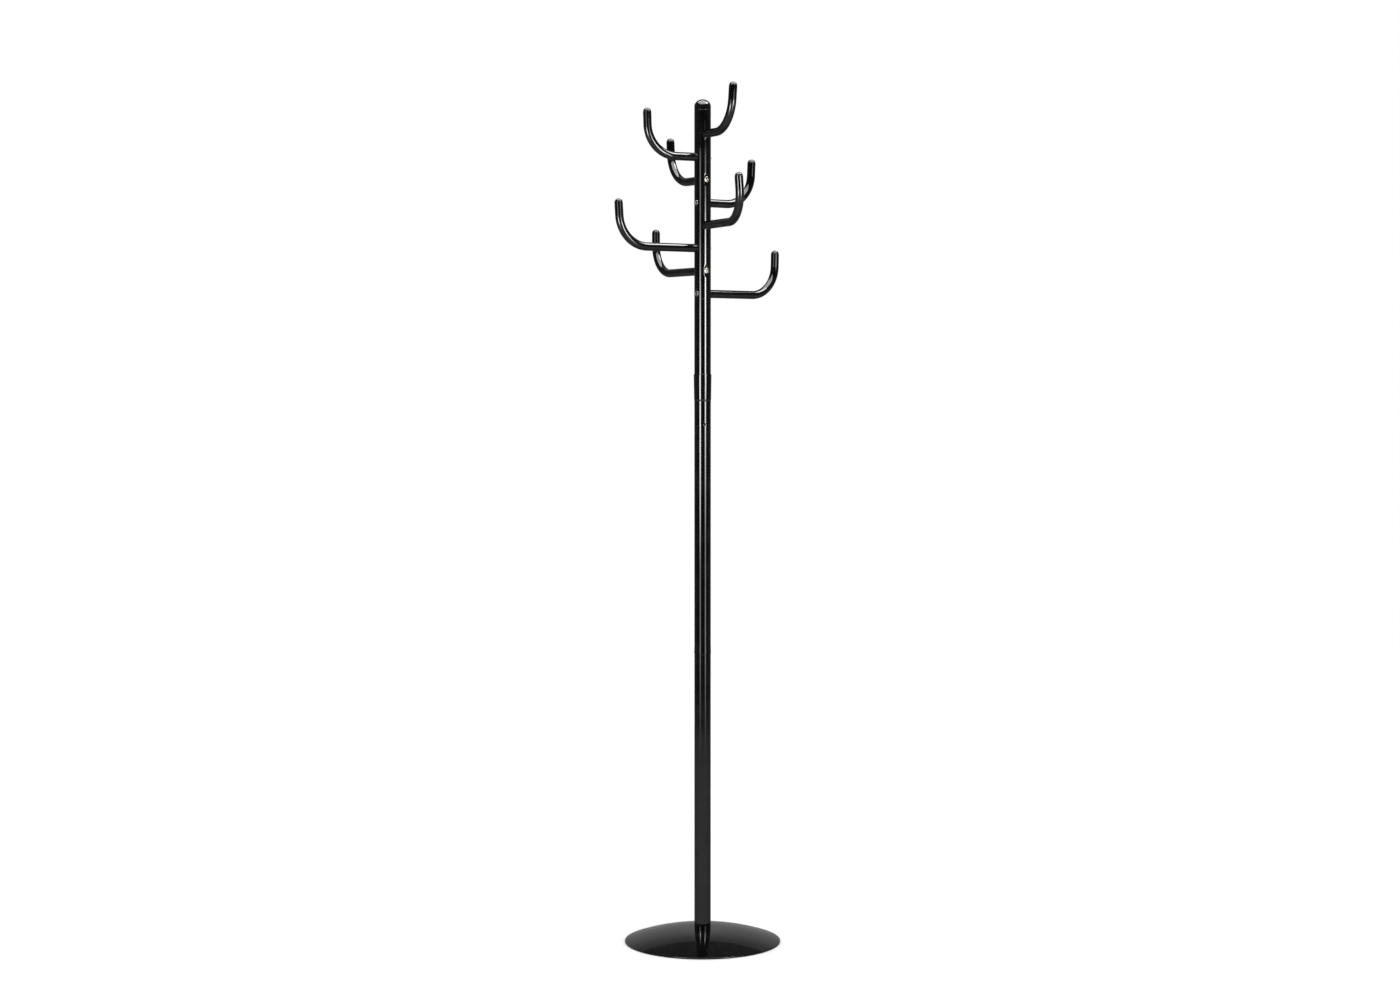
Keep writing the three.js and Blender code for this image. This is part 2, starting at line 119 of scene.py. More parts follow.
class CoatRackSizes(bpy.types.PropertyGroup):
    """Lengths and angles of the coat rack's pieces."""

    base_diameter: length("Base diameter", "Across the dome's rim", 303)
    base_crown: length("Base crown", "Height of the dome where the pole stands", 27)
    base_rim: length("Base rim", "Height of the turned-down rim", 3)
    base_rim_lift: length("Rim lift", "Gap between the rim's edge and the floor", 0.8)
    base_crown_land: length("Crown land", "Flat ring left round the pole's foot", 1)
    base_edge: length("Rim edge", "Radius of the rim's outer edge", 0.8)
    shell_thickness: length("Shell thickness", "Pressed steel of the dome", 1.2)
    bolt_hole: length("Bolt hole", "Diameter of the hole under the pole", 11)
    pole_diameter: length("Pole diameter", "Outside of the pole's tube", 32)
    pole_wall: length("Pole wall", "Wall of the pole's tube", 1)
    face_gap: length("Face gap", "Gap left between pieces that meet", 0.2)
    socket_gap: length("Socket gap", "Radial gap in the plug-together joints", 0.25)
    lower_seam: length("Lower seam", "Height of the lower joint in the pole", 565)
    upper_seam: length("Upper seam", "Height of the upper joint in the pole", 1107)
    pole_top: length("Pole top", "Height of the tube's top end", 1613)
    spigot_length: length("Spigot length", "How far the lower pole plugs in", 60)
    swage_height: length("Swage height", "Height of the narrowing at the lower seam", 0.8)
    mouth_flare: length("Mouth flare", "How far the middle pole's foot is stretched", 0.4)
    mouth_flare_height: length("Mouth flare height", "Where the stretch has faded out", 16)
    bell_length: length("Bell length", "From the bell's mouth down to its ring", 49)
    bell_lip: length("Bell lip", "Straight part of the bell's mouth", 6)
    bell_wall: length("Bell wall", "Wall of the stretched bell", 0.9)
    bell_ring_step: length("Bell ring step", "How far the ring stands out of the tube", 0.5)
    bell_neck: length("Bell neck", "Height of the neck below the ring", 3)
    pilot_length: length("Pilot length", "Narrow end of the upper pole below the ring", 45)
    dimple_drop: length("Dimple drop", "From the upper seam down to the dimple", 97)
    dimple_azimuth: degrees("Dimple azimuth", "From -Y towards +X", -16.0)
    dimple_width: length("Dimple width", "Across the pressed dimple", 3.6)
    dimple_depth: length("Dimple depth", "Depth of the pressed dimple", 0.9)
    pole_cap_collar: length("Pole cap collar", "Straight part of the pole cap", 7.5)
    pole_cap_dome: length("Pole cap dome", "Height of the pole cap's dome", 13.5)
    arm_diameter: length("Arm diameter", "Outside of the arm's tube", 16)
    arm_wall: length("Arm wall", "Wall of the arm's tube", 1)
    arm_bend_radius: length("Arm bend radius", "Centreline radius of the bend", 60)
    arm_bend_angle: degrees("Arm bend angle", "How far the bend turns", 87.7)
    arm_upright: length("Arm upright", "Straight tube above the bend", 25)
    upper_run: length("Upper tier run", "Pole axis to bend, upper arms", 58)
    lower_run: length("Lower tier run", "Pole axis to bend, lower arms", 127)
    arm_root: length("Arm root", "How far an arm's end lies past the pole's axis", 12.3)
    top_arm_drop: length("Top arm drop", "From the pole's top to the first arm", 46)
    arm_pitch: length("Arm pitch", "Height between one arm and the next", 43.6)
    arm_cap_step: length("Arm cap step", "How far a tip cap's edge sits inside the tube's", 0.65)
    arm_cap_collar: length("Arm cap collar", "Straight part of the tip cap", 0.6)
    arm_cap_dome: length("Arm cap dome", "Height of the tip cap's dome", 5.7)
    pole_cap_skirt: length("Pole cap skirt", "Depth of the plug under the pole cap", 20)
    pole_cap_wall: length("Pole cap wall", "Wall of the pole cap", 2)
    arm_cap_skirt: length("Arm cap skirt", "Depth of the plug under a tip cap", 12)
    arm_cap_wall: length("Arm cap wall", "Wall of a tip cap", 1.5)
    screw_head: length("Screw head", "Across the pan head", 11)
    screw_head_height: length("Screw head height", "Height of the low pan head", 1.6)
    screw_shank: length("Screw shank", "Diameter of the screw's shank", 6)
    screw_length: length("Screw length", "Length under the head", 30)
    recess_span: length("Recess span", "Across the cross recess", 5.6)
    recess_width: length("Recess width", "Width of one slot of the recess", 1.4)
    recess_depth: length("Recess depth", "Depth of the cross recess", 1.2)
    recess_wall: length("Recess wall", "How far the wall of the recess slopes in", 0.3)
    seat_depth: length("Screw seat depth", "How far a screw's seat is pressed into the pole", 0.9)
    seat_width: length("Screw seat width", "Across the flat of a screw's seat", 12)
    seat_blend: length("Screw seat blend", "How far the dent runs out past the flat", 7)
    pad_thickness: length("Pad thickness", "Foam pad under the base", 2)
    around_base: IntProperty(name="Base facets", description="Facets round the base", default=256)
    around_pole: IntProperty(name="Pole facets", description="Facets round the pole", default=160)
    around_arm: IntProperty(name="Arm facets", description="Facets round an arm", default=56)
    around_screw: IntProperty(name="Screw facets", description="Facets round a screw", default=96)


class CoatRackFinish(bpy.types.PropertyGroup):
    """Colours of the coat rack's finishes, each with the colour that its patches drift to."""

    enamel: hex_colour("Enamel", "Stoved black enamel on the steel", "#0a0a0b")
    enamel_haze: hex_colour("Enamel haze", "Where dust greys the enamel", "#161616")
    moulded: hex_colour("Moulded black", "Moulded black of the caps", "#0e0e0f")
    moulded_worn: hex_colour("Worn black", "Rubbed parts of the caps", "#1c1c1d")
    nickel: hex_colour("Nickel", "Bright plate on the arm screws", "#aeaba6")
    nickel_tarnish: hex_colour("Tarnish", "Where the nickel has dulled", "#7f7a72")
    zinc: hex_colour("Zinc", "Plate on the hidden fasteners", "#b4b8bb")
    zinc_cloud: hex_colour("Zinc cloud", "Cloudy patches in the zinc", "#8d9296")
    cast_iron: hex_colour("Cast iron", "Skin of the ballast casting", "#4c4b4a")
    rust: hex_colour("Rust", "Specks of rust on the casting", "#5b3a28")
    foam: hex_colour("Foam", "Closed-cell foam of the floor pad", "#1c1c1d")
    foam_scuff: hex_colour("Foam scuff", "Where the foam is scuffed", "#343435")
    paper: hex_colour("Paper", "Studio background paper", "#f2f2f2")
    paper_fibre: hex_colour("Paper fibre", "Paler fibres in the paper", "#f6f6f6")


class CoatRackStudio(bpy.types.PropertyGroup):
    """Camera and lights."""

    camera_azimuth: degrees("Camera azimuth", "From -Y towards +X", -31.0)
    camera_distance: length("Camera distance", "From the pole's axis", 4748)
    camera_height: length("Camera height", "Above the floor", 1115)
    camera_offset: length("Camera offset", "Sideways, to the camera's right", -5)
    camera_pitch: degrees("Camera pitch", "How far the camera looks down", 3.054)
    camera_lens: FloatProperty(
        name="Camera lens", description="Focal length", default=63.13, unit="CAMERA"
    )
    box_distance: length("Softbox distance", "From the pole's axis", 2000)
    box_tall: length("Softbox height", "Top edge above the floor", 1710)
    box_spill: radiance("Softbox spill", "Share of the brightness left at the ends", 0.15)
    box_foot: length("Softbox foot", "Height by which the glow has faded in", 450)
    left_box_azimuth: degrees("Left softbox azimuth", "From the camera's", -33.0)
    left_box_wide: length("Left softbox width", "Across the face", 620)
    left_box_middle: length("Left softbox middle", "Height of its brightest line", 1020)
    left_box_up: length("Left softbox above", "From that line up to the dim end", 650)
    left_box_down: length("Left softbox below", "From that line down to the dim end", 600)
    left_box_light: radiance("Left softbox brightness", "Radiance of its brightest line", 22.0)
    right_box_azimuth: degrees("Right softbox azimuth", "From the camera's", 40.0)
    right_box_wide: length("Right softbox width", "Across the face", 580)
    right_box_middle: length("Right softbox middle", "Height of its brightest line", 1360)
    right_box_up: length("Right softbox above", "From that line up to the dim end", 330)
    right_box_down: length("Right softbox below", "From that line down to the dim end", 950)
    right_box_light: radiance("Right softbox brightness", "Radiance of its brightest line", 27.0)
    top_box_height: length("Overhead height", "Above the floor", 2900)
    top_box_wide: length("Overhead width", "Each side of the square face", 2300)
    top_box_ahead: length("Overhead ahead", "From the axis towards the camera", 650)
    top_box_light: radiance("Overhead brightness", "Radiance of the overhead box", 8.0)
    high_box_azimuth: degrees("High softbox azimuth", "From the camera's", 88.0)
    high_box_elevation: degrees("High softbox elevation", "Above level, seen from the arms", 51.0)
    high_box_aim: length("High softbox aim", "Height of the point it faces", 1450)
    high_box_wide: length("High softbox width", "Across the face", 1300)
    high_box_tall: length("High softbox depth", "Up the face", 650)
    high_box_light: radiance("High softbox brightness", "Radiance of the high softbox", 15.0)
    floor_radius: length("Floor radius", "Of the background paper", 4000)
    fill: radiance("Fill light", "Even light on the paper", 1.15)


# ---- Surfaces ----


def towards(azimuth):
    """The level direction at an azimuth from -Y towards +X."""
    return np.array([math.sin(azimuth), -math.cos(azimuth), 0.0])


class StraightAxis:
    """An axis from a point along a direction: centre(s) = point + s * direction."""

    def __init__(self, point=(0.0, 0.0, 0.0), direction=UP, right=(1.0, 0.0, 0.0)):
        self.point = np.array(point, float)
        self.direction = np.array(direction, float)
        self.right = np.array(right, float)

    def at(self, s):
        """Centre, right and up vectors of the cross-section at each distance along the axis."""
        ones = np.ones((len(s), 1))
        up = np.cross(self.direction, self.right)
        return self.point + s[:, None] * self.direction, ones * self.right, ones * up


class ArmAxis:
    """An arm's centreline: a level run, a bend of constant radius and a straight upright.

    With s measured from the pole's axis and b the angle turned, b grows evenly with s round the
    bend, and the centre is run * out + R * (sin b * out + (1 - cos b) * rise) plus the upright.
    """

    def __init__(self, sizes, tier, azimuth, lean, height):
        tilt = math.radians(lean)
        self.out = towards(math.radians(azimuth))
        left = np.cross(UP, self.out)
        self.rise = math.cos(tilt) * UP + math.sin(tilt) * left
        self.side = np.cross(self.rise, self.out)
        self.origin = height * UP
        self.run = sizes.upper_run if tier == "upper" else sizes.lower_run
        self.bend_radius = sizes.arm_bend_radius
        self.bend_angle = sizes.arm_bend_angle
        self.bend_end = self.run + self.bend_radius * self.bend_angle
        self.end = self.bend_end + sizes.arm_upright

    def at(self, s):
        """Centre, right and up vectors of the cross-section at each distance along the axis."""
        angle = np.clip((s - self.run) / self.bend_radius, 0.0, self.bend_angle)[:, None]
        level = np.minimum(s, self.run)[:, None]
        past = np.maximum(s - self.bend_end, 0.0)[:, None]
        along = level + self.bend_radius * np.sin(angle) + past * np.cos(angle)
        above = self.bend_radius * (1.0 - np.cos(angle)) + past * np.sin(angle)
        centre = self.origin + along * self.out + above * self.rise
        up = np.cos(angle) * self.rise - np.sin(angle) * self.out
        return centre, np.ones((len(s), 1)) * self.side, up

    def tip(self):
        """The straight axis that carries on from the arm's end."""
        centre, right, up = self.at(np.array([self.end]))
        return StraightAxis(centre[0], np.cross(right[0], up[0]), right[0])


def softened(corners, radius, steps=5, guard=0.35 * MM):
    """A closed outline with each corner replaced by a small parabola.

    The parabola runs between two points on the corner's edges, t1 and t2, as
    (1-t)^2 * t1 + 2t(1-t) * corner + t^2 * t2. A guard point beyond each end keeps the shading of
    the long faces flat. A corner with no radius stays as one point.
    """
    corners = np.array(corners, float)
    radius = np.broadcast_to(np.array(radius, float), len(corners))[:, None]
    back, ahead = np.roll(corners, 1, 0) - corners, np.roll(corners, -1, 0) - corners
    back_length = np.linalg.norm(back, axis=1, keepdims=True)
    ahead_length = np.linalg.norm(ahead, axis=1, keepdims=True)
    back, ahead = back / back_length, ahead / ahead_length
    start = np.minimum(radius, 0.4 * back_length)
    stop = np.minimum(radius, 0.4 * ahead_length)
    guarded = (radius > 0) * guard
    start_guard = np.minimum(start + guarded, 0.45 * back_length)
    stop_guard = np.minimum(stop + guarded, 0.45 * ahead_length)
    t = np.linspace(0.0, 1.0, steps)[None, :, None]
    first, last = corners + start * back, corners + stop * ahead
    curve = (1 - t) ** 2 * first[:, None] + 2 * t * (1 - t) * corners[:, None] + t**2 * last[:, None]
    first_guard = (corners + start_guard * back * (radius > 0))[:, None]
    last_guard = (corners + stop_guard * ahead * (radius > 0))[:, None]
    points = np.concatenate([first_guard, curve, last_guard], axis=1).reshape(-1, 2)
    moved = np.linalg.norm(points - np.roll(points, 1, 0), axis=1) > 1e-7
    return points[moved]


def round_body(name, axis, outline, around, closed=True, relief=None):
    """A surface carried round an axis.

    The outline's points are (radius, distance along the axis), anticlockwise in that plane, and
    the surface is centre(s) + radius * (cos a * right + sin a * up) for a round the full circle.
    relief(s, radius, a) gives how far each point moves along the axis and outwards.
    """
    outline = np.array(outline, float)
    radius, s = outline[:, 0:1], outline[:, 1:2]
    angle = np.linspace(0.0, 2 * np.pi, around, endpoint=False)[None, :]
    centre, right, up = axis.at(outline[:, 1])
    direction = np.cross(right, up)
    spoke = np.cos(angle)[..., None] * right[:, None] + np.sin(angle)[..., None] * up[:, None]
    shift, swell = relief(s, radius, angle) if relief else (0.0 * s, 0.0 * s)
    shift = np.broadcast_to(shift, spoke.shape[:2])[..., None]
    swell = np.broadcast_to(swell, spoke.shape[:2])[..., None]
    points = centre[:, None] + (radius[..., None] + swell) * spoke + shift * direction[:, None]
    poles = outline[:, 0] < 1e-9
    return grid_piece(name, points, poles, closed)


def grid_piece(name, points, poles, closed):
    """A smooth mesh object on a grid of points whose columns wrap round.

    The rows wrap too where the outline is closed. A row marked as a pole is one vertex, and the
    faces beside it are triangles.
    """
    rows, columns = points.shape[:2]
    index = np.arange(rows * columns).reshape(rows, columns)
    index[poles] = index[poles][:, :1]
    upper = np.roll(index, -1, 0) if closed else index[1:]
    lower = index if closed else index[:-1]
    a, b = lower, np.roll(lower, -1, 1)
    d, c = upper, np.roll(upper, -1, 1)
    corners = np.stack([a, b, c, d], -1).reshape(-1, 4)
    bottom = corners[:, 0] == corners[:, 1]
    top = corners[:, 2] == corners[:, 3]
    quads = corners[~bottom & ~top]
    fans = corners[bottom & ~top][:, [0, 2, 3]], corners[top & ~bottom][:, [0, 1, 2]]
    triangles = np.concatenate(fans)
    used, packed = np.unique(np.concatenate([quads.ravel(), triangles.ravel()]), return_inverse=True)
    quads, triangles = np.split(packed, [quads.size])
    faces = quads.reshape(-1, 4).tolist() + triangles.reshape(-1, 3).tolist()
    mesh = bpy.data.meshes.new(name)
    mesh.from_pydata(points.reshape(-1, 3)[used].tolist(), [], faces)
    mesh.polygons.foreach_set("use_smooth", np.ones(len(mesh.polygons), bool))
    mesh.update()
    piece = bpy.data.objects.new(name, mesh)
    bpy.context.scene.collection.objects.link(piece)
    return piece


def dome_height(sizes, radius):
    """Height of the base's dome: crown to rim along a parabola in the radius."""
    inner = sizes.pole_diameter / 2 + sizes.base_crown_land
    outer = sizes.base_diameter / 2 - sizes.base_edge
    share = (radius - inner) / (outer - inner)
    return sizes.base_rim + (sizes.base_crown - sizes.base_rim) * (1.0 - share**2)


def domed_outline(radius, collar, dome, skirt, skirt_radius, wall, gap, steps=24):
    """Outline of a cap: skirt, collar and a dome that is a quarter of an ellipse."""
    a = np.linspace(0.0, np.pi / 2, steps)
    outer = np.stack([radius * np.cos(a), collar + dome * np.sin(a)], 1)
    outer[-1, 0] = 0.0
    bore = skirt_radius - wall
    seam_round = min(0.35 * MM, 0.5 * (collar - gap))
    lower = [
        (0.0, collar + dome - wall),
        (bore, collar - wall),
        (bore, -skirt),
        (skirt_radius, -skirt),
        (skirt_radius, gap),
        (radius - seam_round, gap),
        (radius - 0.3 * seam_round, gap + 0.3 * seam_round),
        (radius, gap + seam_round),
        (radius, gap + 1.5 * seam_round),
    ]
    return np.concatenate([lower, outer])


# ---- Materials ----


def add_node(tree, kind, sockets=None, output=0, **settings):
    """Adds a node with its settings, fills or links its sockets, and gives one of its outputs."""
    node = tree.nodes.new("ShaderNode" + kind)
    for key, value in settings.items():
        setattr(node, key, value)
    for key, value in (sockets or {}).items():
        if isinstance(value, bpy.types.NodeSocket):
            tree.links.new(value, node.inputs[key])
        else:
            node.inputs[key].default_value = value
    return node.outputs[output] if node.outputs else None


def new_material(paint):
    """A material named after the function that paints it.

    The function adds the material's patterns, which sit on the piece's own coordinates. It gives
    how far the colour has drifted, the colour it drifts from and the one it drifts to, and then
    the shader's other sockets.
    """
    material = bpy.data.materials.new(paint.__name__)
    material.use_nodes = True
    tree = material.node_tree
    tree.nodes.clear()
    where = add_node(tree, "TexCoord", output="Object")
    (drift, first, second), sockets = paint(tree, where, bpy.context.scene.coat_rack_finish)
    tint = add_node(tree, "Mix", {0: drift, 6: first, 7: second}, output=2, data_type="RGBA")
    shader = add_node(tree, "BsdfPrincipled", {"Base Color": tint, **sockets})
    add_node(tree, "OutputMaterial", {"Surface": shader})
    return material


def stoved_black_enamel(tree, where, finish):
    """Black enamel stoved on steel: a wet-looking gloss whose reflections waver very slightly."""
    # Orange peel, drawn 6 mm across because the real 2 mm is finer than the eye sees from here.
    peel = add_node(tree, "TexNoise", {"Vector": where, "Scale": 1 / (6 * MM), "Detail": 1.0})
    # Slow waves about 60 mm long, as drawn tube and pressed sheet keep.
    wave = add_node(tree, "TexNoise", {"Vector": where, "Scale": 1 / (60 * MM), "Detail": 0.0})
    # Patches of fine dust and handling haze about 25 mm across, which grey and dull the gloss.
    haze = add_node(tree, "TexNoise", {"Vector": where, "Scale": 1 / (25 * MM), "Detail": 4.0})
    dust = add_node(tree, "MapRange", {"Value": haze, "From Min": 0.45, "From Max": 0.8})
    rough = {"Value": haze, "From Min": 0.3, "From Max": 0.75, "To Min": 0.035, "To Max": 0.09}
    rough = add_node(tree, "MapRange", rough)
    slow = add_node(tree, "Bump", {"Height": wave, "Strength": 0.3, "Distance": 0.4 * MM})
    fine = {"Height": peel, "Strength": 0.1, "Distance": 0.05 * MM}
    fine = add_node(tree, "Bump", {**fine, "Normal": slow})
    return (dust, finish.enamel, finish.enamel_haze), {"Roughness": rough, "IOR": 1.5, "Normal": fine}


def moulded_black_abs(tree, where, finish):
    """Moulded black ABS: a softer gloss than the enamel, with a fine grain left by the mould."""
    # Rubbed patches about 7 mm across, where handling has greyed the gloss.
    rub = add_node(tree, "TexNoise", {"Vector": where, "Scale": 1 / (7 * MM), "Detail": 5.0})
    grain = add_node(tree, "TexNoise", {"Vector": where, "Scale": 1 / (0.6 * MM), "Detail": 2.0})
    worn = add_node(tree, "MapRange", {"Value": rub, "From Min": 0.5, "From Max": 0.75})
    rough = {"Value": rub, "From Min": 0.3, "From Max": 0.7, "To Min": 0.07, "To Max": 0.13}
    rough = add_node(tree, "MapRange", rough)
    bump = add_node(tree, "Bump", {"Height": grain, "Strength": 0.15, "Distance": 0.03 * MM})
    return (worn, finish.moulded, finish.moulded_worn), {"Roughness": rough, "IOR": 1.53, "Normal": bump}


def bright_nickel_plate(tree, where, finish):
    """Bright nickel plate: mirror-like, with faint tool marks and a warm grey in places."""
    marks = add_node(tree, "TexNoise", {"Vector": where, "Scale": 1 / (0.8 * MM), "Detail": 3.0})
    cloud = add_node(tree, "TexNoise", {"Vector": where, "Scale": 1 / (5 * MM), "Detail": 2.0})
    tarnish = add_node(tree, "MapRange", {"Value": cloud, "From Min": 0.4, "From Max": 0.8})
    rough = {"Value": marks, "From Min": 0.3, "From Max": 0.7, "To Min": 0.2, "To Max": 0.32}
    rough = add_node(tree, "MapRange", rough)
    bump = add_node(tree, "Bump", {"Height": marks, "Strength": 0.2, "Distance": 0.02 * MM})
    tint = tarnish, finish.nickel, finish.nickel_tarnish
    return tint, {"Metallic": 1.0, "Roughness": rough, "Normal": bump}


def bright_zinc_plate(tree, where, finish):
    """Zinc plate: a satin blue-grey metal with a fine spangle and cloudy patches."""
    spangle = add_node(tree, "TexVoronoi", {"Vector": where, "Scale": 1 / (1.5 * MM)})
    cloud = add_node(tree, "TexNoise", {"Vector": where, "Scale": 1 / (12 * MM), "Detail": 4.0})
    rough = add_node(tree, "MapRange", {"Value": spangle, "To Min": 0.32, "To Max": 0.5})
    bump = add_node(tree, "Bump", {"Height": spangle, "Strength": 0.15, "Distance": 0.02 * MM})
    tint = cloud, finish.zinc, finish.zinc_cloud
    return tint, {"Metallic": 1.0, "Roughness": rough, "Normal": bump}


def sand_cast_grey_iron(tree, where, finish):
    """Sand-cast grey iron: dull and dark, with the sand's grain about 0.7 mm across, and rusty specks."""
    sand = add_node(tree, "TexNoise", {"Vector": where, "Scale": 1 / (0.7 * MM), "Detail": 6.0})
    stain = add_node(tree, "TexNoise", {"Vector": where, "Scale": 1 / (18 * MM), "Detail": 5.0})
    rust = add_node(tree, "MapRange", {"Value": stain, "From Min": 0.55, "From Max": 0.8})
    bump = add_node(tree, "Bump", {"Height": sand, "Strength": 0.6, "Distance": 0.3 * MM})
    return (rust, finish.cast_iron, finish.rust), {"Metallic": 0.4, "Roughness": 0.82, "Normal": bump}


def closed_cell_foam(tree, where, finish):
    """Skived closed-cell foam: matt black with cut cells about 0.9 mm across and greyer scuffs."""
    cells = add_node(tree, "TexVoronoi", {"Vector": where, "Scale": 1 / (0.9 * MM)})
    scuff = add_node(tree, "TexNoise", {"Vector": where, "Scale": 1 / (30 * MM), "Detail": 5.0})
    grey = add_node(tree, "MapRange", {"Value": scuff, "From Min": 0.45, "From Max": 0.75})
    bump = add_node(tree, "Bump", {"Height": cells, "Strength": 0.5, "Distance": 0.2 * MM})
    return (grey, finish.foam, finish.foam_scuff), {"Roughness": 0.93, "IOR": 1.45, "Normal": bump}


def studio_paper(tree, where, finish):
    """Seamless background paper: matt and nearly white, with a soft fibre mottle."""
    fibre = add_node(tree, "TexNoise", {"Vector": where, "Scale": 1 / (40 * MM), "Detail": 3.0})
    return (fibre, finish.paper, finish.paper_fibre), {"Roughness": 1.0, "Specular IOR Level": 0.0}


MATERIALS = {
    "enamel": stoved_black_enamel,
    "moulded": moulded_black_abs,
    "nickel": bright_nickel_plate,
    "zinc": bright_zinc_plate,
    "cast": sand_cast_grey_iron,
    "foam": closed_cell_foam,
}
# The material of each slot, once it has been made.
made = {}


def dress(piece, slot):
    """Gives a piece the one material of its slot, made the first time it is asked for."""
    if slot not in made:
        made[slot] = new_material(MATERIALS[slot])
    piece.data.materials.clear()
    piece.data.materials.append(made[slot])


def install(piece, slot, *nodes):
    """Dresses a new piece, ties it to the stand's body and lets it stand for CAD nodes."""
    dress(piece, slot)
    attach(piece, BODY)
    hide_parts(*nodes)
    return piece


# ---- Pieces ----


def arm_height(sizes, index):
    """Height of an arm's root."""
    return sizes.pole_top - sizes.top_arm_drop - index * sizes.arm_pitch


def arm_axes(sizes):
    """The centreline of each arm, from the top down."""
    return [
        ArmAxis(sizes, tier, azimuth, lean, arm_height(sizes, i))
        for i, (tier, azimuth, lean) in enumerate(ARMS)
    ]


class COATRACK_OT_base(bpy.types.Operator):
    """Builds the pressed dome of the base and the foam pad under it"""

    bl_idname = "coatrack.base"
    bl_label = "Base"

    def execute(self, context):
        sizes = context.scene.coat_rack_sizes
        self.shell(sizes)
        self.pad(sizes)
        return {"FINISHED"}

    def shell(self, sizes):
        """A dome with a parabolic section, a turned-down rim and an even wall."""
        steps = 60
        outer_radius, wall = sizes.base_diameter / 2, sizes.shell_thickness
        land = sizes.pole_diameter / 2 + sizes.base_crown_land
        dome_edge = outer_radius - sizes.base_edge
        inward = np.linspace(dome_edge, land, steps)
        outward = np.linspace(land, outer_radius - wall, steps // 2)
        hole = sizes.bolt_hole / 2
        outer = np.stack([inward, dome_height(sizes, inward)], 1)
        inner = np.stack([outward, dome_height(sizes, outward) - wall], 1)
        lip = [
            (outer_radius - wall, sizes.base_rim_lift),
            (outer_radius, sizes.base_rim_lift),
            (outer_radius, sizes.base_rim - 0.4 * sizes.base_edge),
        ]
        corners = np.concatenate(
            [[(hole, sizes.base_crown - wall)], inner, lip, outer, [(hole, sizes.base_crown)]]
        )
        radius = np.zeros(len(corners))
        rim = 1 + len(inner)
        radius[rim : rim + 4] = [0.25 * MM, 0.35 * MM, 0.6 * MM, 0.6 * MM]
        piece = round_body("base_dome", StraightAxis(), softened(corners, radius), sizes.around_base)
        install(piece, "enamel", "base_shell")

    def pad(self, sizes):
        """A flat disc with a slightly rounded edge."""
        radius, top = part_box("base_pad")[1].x, sizes.pad_thickness
        corners = [(0.0, 0.0), (radius, 0.0), (radius, top), (0.0, top)]
        outline = softened(corners, [0.0, 0.5 * MM, 0.5 * MM, 0.0])
        piece = round_body("floor_pad", StraightAxis(), outline, sizes.around_base, closed=False)
        install(piece, "foam", "base_pad")


